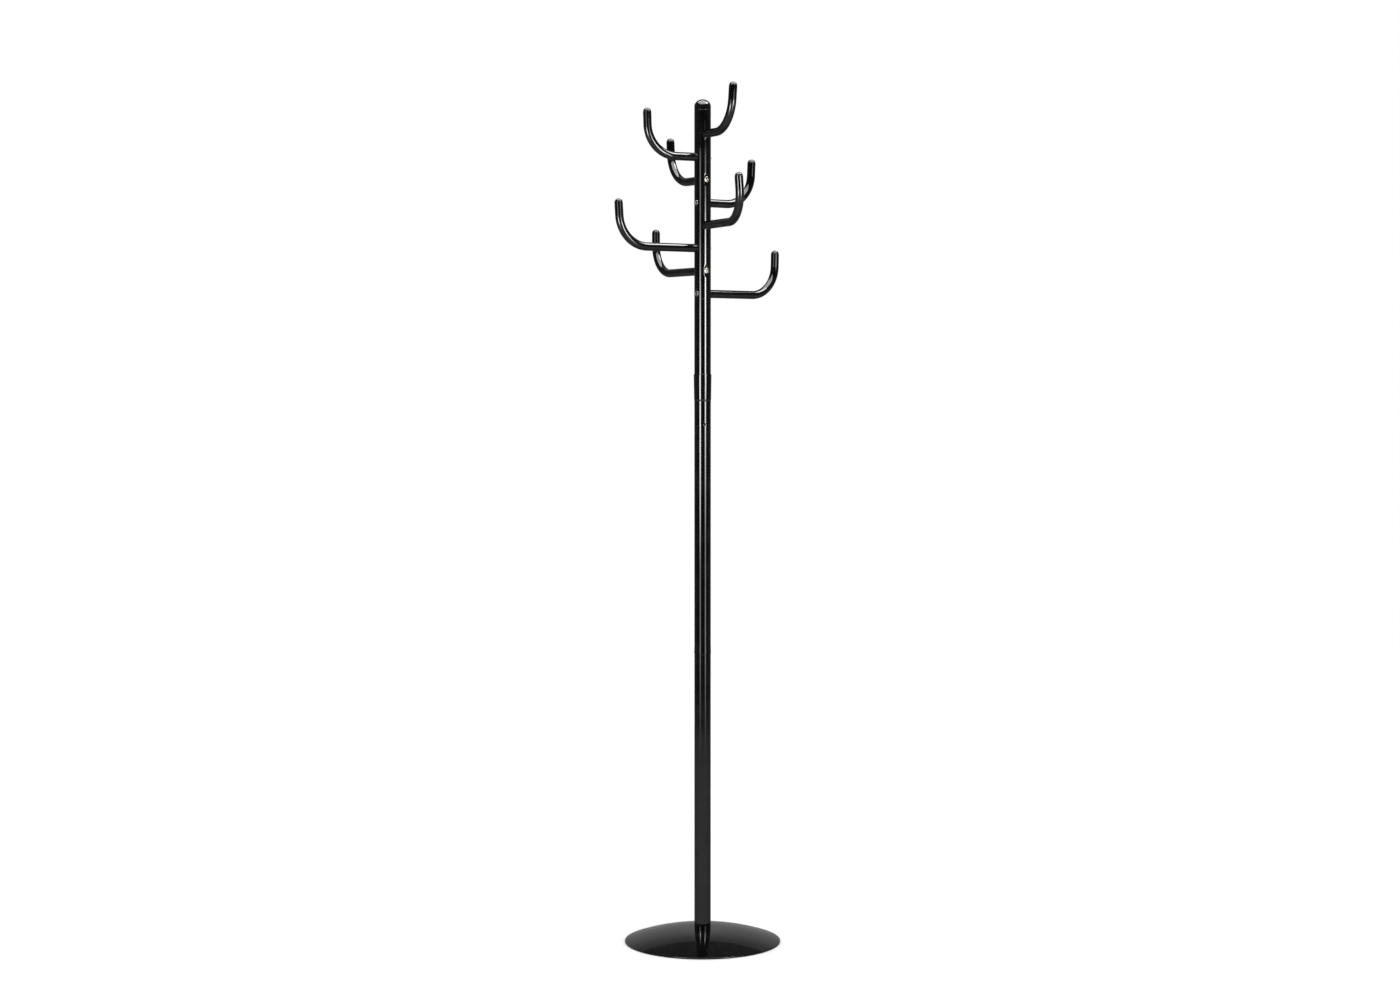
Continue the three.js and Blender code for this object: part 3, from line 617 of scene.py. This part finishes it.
class COATRACK_OT_pole(bpy.types.Operator):
    """Builds the three tube sections of the pole"""

    bl_idname = "coatrack.pole"
    bl_label = "Pole"

    def execute(self, context):
        sizes = context.scene.coat_rack_sizes
        self.lower(sizes)
        self.middle(sizes)
        self.upper(sizes)
        return {"FINISHED"}

    def lower(self, sizes):
        """A tube whose top is swaged down to a spigot."""
        outer, bore = sizes.pole_diameter / 2, sizes.pole_diameter / 2 - sizes.pole_wall
        spigot = bore - sizes.socket_gap
        foot = sizes.base_crown + sizes.face_gap
        shoulder = sizes.lower_seam - sizes.face_gap
        neck = shoulder - sizes.swage_height
        top = sizes.lower_seam + sizes.spigot_length
        corners = [
            (bore, foot),
            (outer, foot),
            (outer, neck),
            (spigot, shoulder),
            (spigot, top),
            (spigot - sizes.pole_wall, top),
            (spigot - sizes.pole_wall, neck),
            (bore, neck - sizes.swage_height),
        ]
        radius = np.array([0.1, 0.3, 0.4, 0.3, 0.3, 0.1, 0.3, 0.3]) * MM
        outline = softened(corners, radius)
        piece = round_body("lower_tube", StraightAxis(), outline, sizes.around_pole)
        install(piece, "enamel", "lower_pole")

    def middle(self, sizes):
        """A tube whose top is stretched to a bell, with a ring where the bell ends and a dimple."""
        outer, bore = sizes.pole_diameter / 2, sizes.pole_diameter / 2 - sizes.pole_wall
        flare, seam = sizes.mouth_flare, sizes.lower_seam
        flare_top = seam + sizes.mouth_flare_height
        mouth_bore = outer + sizes.socket_gap
        mouth = mouth_bore + sizes.bell_wall
        ring = outer + sizes.bell_ring_step
        ring_height = sizes.upper_seam - sizes.bell_length
        neck = ring_height - sizes.bell_neck
        lip = sizes.upper_seam - sizes.bell_lip
        dimple = sizes.upper_seam - sizes.dimple_drop
        near = 1.6 * sizes.dimple_width
        rows = np.linspace(dimple - near, dimple + near, 41)
        corners = np.concatenate(
            [
                [(bore + flare, seam), (outer + flare, seam), (outer, flare_top)],
                np.stack([np.full_like(rows, outer), rows], 1),
                [
                    (outer, neck),
                    (ring, ring_height),
                    (mouth, lip),
                    (mouth, sizes.upper_seam),
                    (mouth_bore, sizes.upper_seam),
                    (mouth_bore, lip),
                    (ring - sizes.bell_wall, ring_height),
                    (bore, neck),
                    (bore, flare_top),
                ],
            ]
        )
        radius = np.zeros(len(corners))
        radius[:3] = np.array([0.2, 0.3, 3.0]) * MM
        radius[-9:] = np.array([1.2, 1.2, 3.0, 0.75, 0.1, 1.0, 0.3, 0.3, 3.0]) * MM
        facing = sizes.dimple_azimuth - math.pi / 2

        def pressed(s, r, a):
            """Depth falls off from the dimple's centre as a bell curve of the surface distance."""
            across = outer * (np.mod(a - facing + np.pi, 2 * np.pi) - np.pi)
            apart = (across**2 + (s - dimple) ** 2) / (sizes.dimple_width / 2.4) ** 2
            return 0.0 * s, np.where(r > bore + 0.2 * MM, -sizes.dimple_depth * np.exp(-apart), 0.0)

        piece = round_body(
            "middle_tube",
            StraightAxis(),
            softened(corners, radius),
            2 * sizes.around_pole,
            relief=pressed,
        )
        install(piece, "enamel", "middle_pole")

    def upper(self, sizes):
        """A tube that carries the arms and narrows inside the bell."""
        outer, bore = sizes.pole_diameter / 2, sizes.pole_diameter / 2 - sizes.pole_wall
        spigot = bore - sizes.socket_gap
        ring_height = sizes.upper_seam - sizes.bell_length
        taper_end = outer + sizes.bell_ring_step - sizes.bell_wall - sizes.socket_gap
        lip = sizes.upper_seam - sizes.bell_lip
        end = ring_height - sizes.pilot_length
        reach = sizes.seat_width / 2 + sizes.seat_blend
        roots = np.array([arm_height(sizes, i) for i in range(len(ARMS))])[::-1, None]
        rows = (roots + np.linspace(-reach, reach, 29)).ravel()
        inner_rows = (roots + np.linspace(-reach, reach, 15)).ravel()[::-1]
        corners = np.concatenate(
            [
                [
                    (spigot - sizes.pole_wall, end),
                    (spigot, end),
                    (spigot, ring_height + sizes.face_gap),
                    (taper_end, ring_height + sizes.bell_neck),
                    (outer, lip),
                ],
                np.stack([np.full_like(rows, outer), rows], 1),
                [(outer, sizes.pole_top), (bore, sizes.pole_top)],
                np.stack([np.full_like(inner_rows, bore), inner_rows], 1),
                [
                    (bore, lip),
                    (taper_end - sizes.pole_wall, ring_height + sizes.bell_neck),
                    (spigot - sizes.pole_wall, ring_height + sizes.face_gap),
                ],
            ]
        )
        radius = np.zeros(len(corners))
        radius[:5] = 0.35 * MM
        radius[5 + len(rows) : 7 + len(rows)] = 0.35 * MM
        radius[-3:] = 0.35 * MM
        outline = softened(corners, radius)
        piece = round_body(
            "upper_tube", StraightAxis(), outline, sizes.around_pole, relief=self.seats(sizes, reach)
        )
        install(piece, "enamel", "upper_pole")

    def seats(self, sizes, reach):
        """Flat seats for the screws.

        Within a seat the tube is pushed in to the flat, and past its edge the push fades with the
        distance from the screw as 1 - 3t^2 + 2t^3.
        """
        outer, flat = sizes.pole_diameter / 2, sizes.pole_diameter / 2 - sizes.seat_depth
        half = sizes.seat_width / 2

        def pressed(s, r, a):
            push = 0.0 * (s + a)
            for i, (_, azimuth, _) in enumerate(ARMS):
                turn = np.mod(a - math.radians(azimuth + 90) + np.pi, 2 * np.pi) - np.pi
                apart = np.hypot(outer * turn, s - arm_height(sizes, i))
                t = np.clip((apart - half) / (reach - half), 0.0, 1.0)
                facing = np.maximum(np.cos(turn), 0.2)
                depth = np.maximum(outer * np.cos(turn) - flat, 0.0) / facing
                push = push + depth * (1 - 3 * t**2 + 2 * t**3)
            return 0.0 * s, -push

        return pressed


class COATRACK_OT_pole_cap(bpy.types.Operator):
    """Builds the domed cap on top of the pole"""

    bl_idname = "coatrack.pole_cap"
    bl_label = "Pole cap"

    def execute(self, context):
        sizes = context.scene.coat_rack_sizes
        radius = sizes.pole_diameter / 2
        outline = domed_outline(
            radius=radius,
            collar=sizes.pole_cap_collar,
            dome=sizes.pole_cap_dome,
            skirt=sizes.pole_cap_skirt,
            skirt_radius=radius - sizes.pole_wall - sizes.socket_gap,
            wall=sizes.pole_cap_wall,
            gap=sizes.face_gap,
            steps=40,
        )
        axis = StraightAxis((0.0, 0.0, sizes.pole_top))
        piece = round_body("top_cap", axis, outline, sizes.around_pole, closed=False)
        install(piece, "moulded", "pole_cap")
        return {"FINISHED"}


class COATRACK_OT_arms(bpy.types.Operator):
    """Builds the eight bent tube arms"""

    bl_idname = "coatrack.arms"
    bl_label = "Arms"

    def execute(self, context):
        sizes = context.scene.coat_rack_sizes
        outer, bore = sizes.arm_diameter / 2, sizes.arm_diameter / 2 - sizes.arm_wall
        for number, axis in enumerate(arm_axes(sizes), start=1):
            bend = np.linspace(axis.run, axis.bend_end, 41)
            root, tip = -sizes.arm_root, axis.end
            corners = np.concatenate(
                [
                    [(bore, root), (outer, root)],
                    np.stack([np.full_like(bend, outer), bend], 1),
                    [(outer, tip), (bore, tip)],
                    np.stack([np.full_like(bend, bore), bend[::-1]], 1),
                ]
            )
            radius = np.zeros(len(corners))
            radius[:2] = 0.2 * MM
            radius[2 + len(bend) : 4 + len(bend)] = [0.45 * MM, 0.2 * MM]
            piece = round_body(f"bent_arm_{number}", axis, softened(corners, radius), sizes.around_arm)
            install(piece, "enamel", f"arm_{number}")
        return {"FINISHED"}


class COATRACK_OT_arm_caps(bpy.types.Operator):
    """Builds the domed cap on each arm's tip"""

    bl_idname = "coatrack.arm_caps"
    bl_label = "Arm caps"

    def execute(self, context):
        sizes = context.scene.coat_rack_sizes
        for number, axis in enumerate(arm_axes(sizes), start=1):
            outline = domed_outline(
                radius=sizes.arm_diameter / 2 - sizes.arm_cap_step,
                collar=sizes.arm_cap_collar,
                dome=sizes.arm_cap_dome,
                skirt=sizes.arm_cap_skirt,
                skirt_radius=sizes.arm_diameter / 2 - sizes.arm_wall - sizes.socket_gap,
                wall=sizes.arm_cap_wall,
                gap=sizes.face_gap,
            )
            piece = round_body(f"tip_cap_{number}", axis.tip(), outline, sizes.around_arm, closed=False)
            install(piece, "moulded", f"arm_cap_{number}")
        return {"FINISHED"}


class COATRACK_OT_arm_screws(bpy.types.Operator):
    """Builds the pan-head screw behind each arm"""

    bl_idname = "coatrack.arm_screws"
    bl_label = "Arm screws"

    def execute(self, context):
        sizes = context.scene.coat_rack_sizes
        for number, arm in enumerate(arm_axes(sizes), start=1):
            seat_distance = sizes.pole_diameter / 2 - sizes.seat_depth + sizes.face_gap
            seat = arm.origin - seat_distance * arm.out
            axis = StraightAxis(seat, -arm.out, UP)
            piece = round_body(
                f"pan_screw_{number}",
                axis,
                self.outline(sizes),
                sizes.around_screw,
                closed=False,
                relief=self.recess(sizes),
            )
            install(piece, "nickel", f"arm_screw_{number}")
        return {"FINISHED"}

    def outline(self, sizes):
        """Shank, flat underside, and a pan head whose top is an ellipse to the fourth power."""
        head, height = sizes.screw_head / 2, sizes.screw_head_height
        shank = sizes.screw_shank / 2
        rim_share = 0.45
        r = np.linspace(head, 0.0, 90)
        crown = height * (rim_share + (1.0 - rim_share) * (1.0 - (r / head) ** 4) ** 0.5)
        below = [(0.0, -sizes.screw_length), (shank, -sizes.screw_length), (shank, 0.0)]
        rim = [(head - 0.3 * MM, 0.0), (head - 0.06 * MM, 0.08 * MM), (head, 0.3 * MM)]
        return np.concatenate([below, rim, np.stack([r, crown], 1)])

    def recess(self, sizes):
        """A cross recess of two slots.

        The depth grows with the distance inside the cross, up to the width of its wall, and shrinks
        by the taper towards the ends of the slots.
        """
        taper = 0.45

        def sunk(s, r, a):
            x, y = np.abs(r * np.cos(a + np.pi / 8)), np.abs(r * np.sin(a + np.pi / 8))
            half, width = sizes.recess_span / 2, sizes.recess_width / 2
            inside = np.maximum(np.minimum(half - x, width - y), np.minimum(half - y, width - x))
            depth = np.clip(inside / sizes.recess_wall, 0.0, 1.0) * (1.0 - taper * r / half)
            return -sizes.recess_depth * depth * (s > 0.3 * sizes.screw_head_height), 0.0 * s

        return sunk


class COATRACK_OT_fittings(bpy.types.Operator):
    """Finishes the hidden pieces: ballast, underplate, bolt, washers and threaded plugs"""

    bl_idname = "coatrack.fittings"
    bl_label = "Hidden fittings"

    def execute(self, context):
        slots = {part["node"]: part["material_slot"] for part in frame["record"]["subparts"]}
        for name, node in frame["nodes"].items():
            dress(node, slots[name])
        return {"FINISHED"}


# ---- Studio ----


class COATRACK_OT_stage(bpy.types.Operator):
    """Builds the floor, the lights, the world and the camera"""

    bl_idname = "coatrack.stage"
    bl_label = "Stage"

    def execute(self, context):
        studio = context.scene.coat_rack_studio
        context.scene.view_settings.view_transform = "Standard"
        self.floor(context, studio)
        self.lights(studio)
        self.world(context, studio)
        self.camera(context, studio)
        return {"FINISHED"}

    def floor(self, context, studio):
        """A level disc of background paper."""
        steps = np.linspace(0.0, studio.floor_radius, 12)[::-1]
        steps[-1] = 0.0
        outline = np.stack([steps, np.full_like(steps, -0.1 * MM)], 1)
        floor = round_body("studio_floor", StraightAxis(), outline, 96, closed=False)
        floor.data.materials.append(new_material(studio_paper))
        floor.visible_glossy = False

    def lights(self, studio):
        """Upright softboxes either side of the camera, a tilted one high on the right, one overhead."""
        for side in ("left", "right"):
            azimuth, wide, middle, up, down, brightness = (
                getattr(studio, f"{side}_box_{key}")
                for key in ("azimuth", "wide", "middle", "up", "down", "light")
            )
            turn = studio.camera_azimuth + azimuth
            place = studio.box_distance * towards(turn) + studio.box_tall / 2 * UP
            light = self.box_light(f"{side}_softbox", wide, studio.box_tall, brightness, place)
            light.rotation_euler = (math.radians(90), 0.0, turn)
            self.glow(light.data, studio, middle, up, down)
        turn = studio.camera_azimuth + studio.high_box_azimuth
        tilt = studio.high_box_elevation
        place = math.cos(tilt) * towards(turn) + math.sin(tilt) * UP
        place = studio.box_distance * place + studio.high_box_aim * UP
        wide, tall = studio.high_box_wide, studio.high_box_tall
        high = self.box_light("high_softbox", wide, tall, studio.high_box_light, place)
        high.rotation_euler = (math.radians(90) - tilt, 0.0, turn)
        wide = studio.top_box_wide
        place = studio.top_box_height * UP + studio.top_box_ahead * towards(studio.camera_azimuth)
        overhead = self.box_light("overhead_softbox", wide, wide, studio.top_box_light, place)
        overhead.rotation_euler = (0.0, 0.0, studio.camera_azimuth)

    def box_light(self, name, wide, tall, brightness, place):
        """A rectangular light that shines along its own -Z and only shows in glossy surfaces."""
        data = bpy.data.lights.new(name, "AREA")
        data.shape, data.size, data.size_y = "RECTANGLE", wide, tall
        data.energy = math.pi * brightness * wide * tall
        light = bpy.data.objects.new(name, data)
        light.location = place
        light.visible_diffuse = False
        bpy.context.scene.collection.objects.link(light)
        return light

    def glow(self, data, studio, middle, up, down):
        """Brightest at its middle height, easing to a dim spill at the ends and off at the floor.

        Each share eases along a smoothstep of the height, and the strength is
        max(rising * falling, spill) * foot.
        """
        data.use_nodes = True
        tree = data.node_tree
        tree.nodes.clear()
        across = add_node(tree, "NewGeometry", output="Parametric")
        share = add_node(tree, "SeparateXYZ", {"Vector": across}, output="Y")
        height = add_node(tree, "Math", {0: share, 1: studio.box_tall}, operation="MULTIPLY")
        shares = []
        for start, stop, first, last in (
            (middle - down, middle, 0.0, 1.0),
            (middle, middle + up, 1.0, 0.0),
            (0.0, studio.box_foot, 0.0, 1.0),
        ):
            span = {0: height, 1: start, 2: stop, 3: first, 4: last}
            shares.append(add_node(tree, "MapRange", span, interpolation_type="SMOOTHSTEP"))
        strength, falling, foot = shares
        steps = (("MULTIPLY", falling), ("MAXIMUM", studio.box_spill), ("MULTIPLY", foot))
        for operation, value in steps:
            strength = add_node(tree, "Math", {0: strength, 1: value}, operation=operation)
        emission = add_node(tree, "Emission", {"Strength": strength})
        add_node(tree, "OutputLight", {"Surface": emission})

    def world(self, context, studio):
        """White to the eye, an even fill for the floor, and a dim room in the gloss.

        In the gloss the room has a pale floor, dark walls and a grey backdrop behind the stand.
        Each share eases along a smoothstep of the height that a direction points to, or of how
        squarely it points behind the stand. The room's brightness is
        max(walls, backdrop * lit * rear) * above + paper * below.
        """
        world = bpy.data.worlds.new("studio")
        world.use_nodes = True
        tree = world.node_tree
        tree.nodes.clear()
        direction = add_node(tree, "TexCoord", output="Generated")
        level = add_node(tree, "VectorMath", {0: direction, 1: (1, 1, 0)}, operation="MULTIPLY")
        level = add_node(tree, "VectorMath", {0: level}, operation="NORMALIZE")
        behind = {0: level, 1: (-towards(studio.camera_azimuth)).tolist()}
        behind = add_node(tree, "VectorMath", behind, output="Value", operation="DOT_PRODUCT")
        height = add_node(tree, "SeparateXYZ", {"Vector": direction}, output="Z")
        shares = {}
        for name, value, start, stop, first, last in (
            ("walls", behind, -0.8, 0.2, 0.0, 0.08),
            ("paper", behind, -0.9, 0.9, 0.6, 0.15),
            ("rear", behind, 0.64, 0.94, 0.0, 1.0),
            ("backdrop", height, 0.35, 0.56, 0.31, 0.19),
            ("lit", height, 0.565, 0.575, 1.0, 0.3),
            ("above", height, -0.165, -0.13, 0.0, 1.0),
            ("below", height, -0.165, -0.13, 1.0, 0.0),
        ):
            span = {0: value, 1: start, 2: stop, 3: first, 4: last}
            shares[name] = add_node(tree, "MapRange", span, interpolation_type="SMOOTHSTEP")
        for name, operation, other in (
            ("backdrop", "MULTIPLY", "lit"),
            ("backdrop", "MULTIPLY", "rear"),
            ("walls", "MAXIMUM", "backdrop"),
            ("above", "MULTIPLY", "walls"),
            ("below", "MULTIPLY", "paper"),
            ("above", "ADD", "below"),
        ):
            pair = {0: shares[name], 1: shares[other]}
            shares[name] = add_node(tree, "Math", pair, operation=operation)
        white = {"Color": (1.0, 1.0, 1.0, 1.0)}
        gloss = add_node(tree, "Background", {**white, "Strength": shares["above"]})
        fill = add_node(tree, "Background", {**white, "Strength": studio.fill})
        plain = add_node(tree, "Background", white)
        glossy = add_node(tree, "LightPath", output="Is Glossy Ray")
        direct = add_node(tree, "LightPath", output="Is Camera Ray")
        unseen = add_node(tree, "MixShader", {0: glossy, 1: fill, 2: gloss})
        seen = add_node(tree, "MixShader", {0: direct, 1: unseen, 2: plain})
        add_node(tree, "OutputWorld", {"Surface": seen})
        context.scene.world = world

    def camera(self, context, studio):
        """A level-built camera at chest height, pitched slightly down."""
        turn = studio.camera_azimuth
        right = towards(turn + math.radians(90))
        place = (
            studio.camera_distance * towards(turn)
            + studio.camera_height * UP
            + studio.camera_offset * right
        )
        data = bpy.data.cameras.new("camera")
        data.lens, data.sensor_width = studio.camera_lens, 36.0
        camera = bpy.data.objects.new("camera", data)
        camera.location = place
        camera.rotation_euler = (math.radians(90) - studio.camera_pitch, 0.0, turn)
        context.scene.collection.objects.link(camera)
        context.scene.camera = camera


STEPS = (
    COATRACK_OT_fittings,
    COATRACK_OT_base,
    COATRACK_OT_pole,
    COATRACK_OT_pole_cap,
    COATRACK_OT_arms,
    COATRACK_OT_arm_caps,
    COATRACK_OT_arm_screws,
    COATRACK_OT_stage,
)
GROUPS = {
    "coat_rack_sizes": CoatRackSizes,
    "coat_rack_finish": CoatRackFinish,
    "coat_rack_studio": CoatRackStudio,
}


class COATRACK_PT_panel(bpy.types.Panel):
    """Lists the coat rack's building steps and settings"""

    bl_idname = "COATRACK_PT_panel"
    bl_label = "Coat rack"
    bl_space_type = "VIEW_3D"
    bl_region_type = "UI"
    bl_category = "Coat rack"

    def draw(self, context):
        for step in STEPS:
            self.layout.operator(step.bl_idname)
        for name, group in GROUPS.items():
            box = self.layout.box()
            for key in group.__annotations__:
                box.prop(getattr(context.scene, name), key)


def register():
    """Registers the property groups, operators and panel."""
    for name, group in GROUPS.items():
        bpy.utils.register_class(group)
        setattr(bpy.types.Scene, name, PointerProperty(type=group))
    for item in (*STEPS, COATRACK_PT_panel):
        bpy.utils.register_class(item)


def unregister():
    """Removes what register added."""
    for item in reversed((*STEPS, COATRACK_PT_panel)):
        bpy.utils.unregister_class(item)
    for name, group in GROUPS.items():
        delattr(bpy.types.Scene, name)
        bpy.utils.unregister_class(group)


def main():
    """Builds the coat rack and its studio."""
    register()
    for step in STEPS:
        area, name = step.bl_idname.split(".")
        getattr(getattr(bpy.ops, area), name)()


if __name__ == "__main__":
    main()
